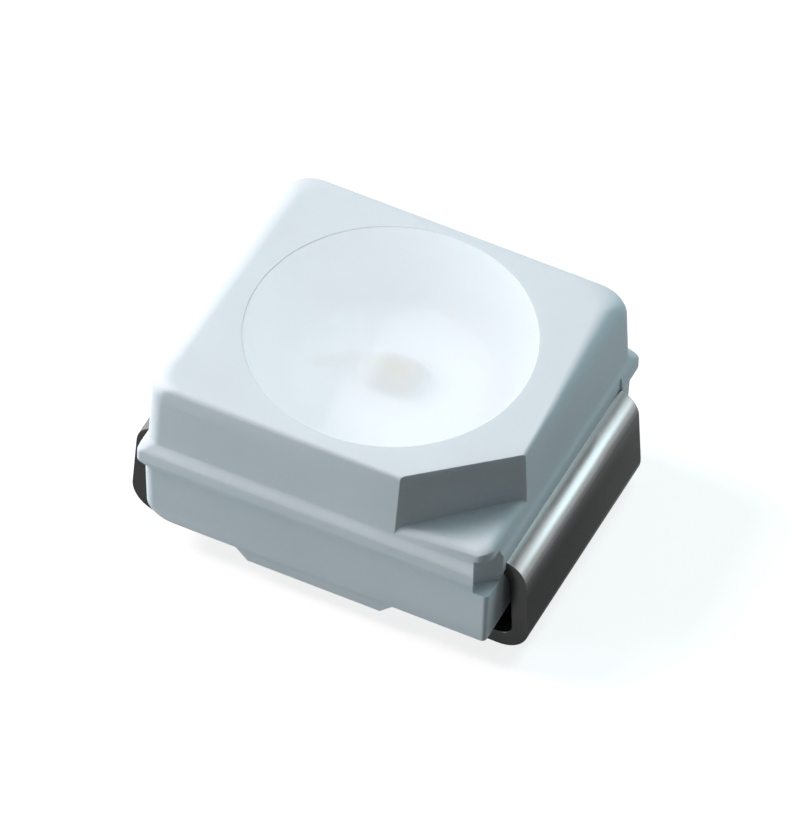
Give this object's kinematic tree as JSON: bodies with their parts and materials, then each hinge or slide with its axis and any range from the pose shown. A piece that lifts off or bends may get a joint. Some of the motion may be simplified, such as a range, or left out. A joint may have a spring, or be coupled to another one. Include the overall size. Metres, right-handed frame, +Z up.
{
  "type": "smd led",
  "caption": "Top-view surface-mount LED: white moulded housing with a round reflector cup of milky resin, a corner polarity notch and bent leads folded under as solder pads.",
  "frame": {"origin": "middle of the footprint on the solder plane", "axes": "+X toward the cathode lead and the polarity notch, +Y across the leads away from the notch, +Z up out of the cup"},
  "size_m": [0.0036, 0.0028, 0.0019],
  "materials": {
    "housing": "fine matt white moulding, faintly bluish",
    "lead": "silver-plated copper alloy, satin, darkened by its surroundings",
    "adhesive": "silver-filled epoxy, matt grey",
    "chip": "polished semiconductor crystal, brownish grey",
    "gold": "bright gold",
    "resin": "clear gloss surface over milky diffusing resin"
  },
  "bodies": {
    "root": {"housing": "housing", "cathode_lead": "lead", "anode_lead": "lead", "die_attach": "adhesive", "led_chip": "chip", "chip_electrode": "gold", "bond_wire": "gold", "resin_fill": "resin"}
  },
  "joints": []
}
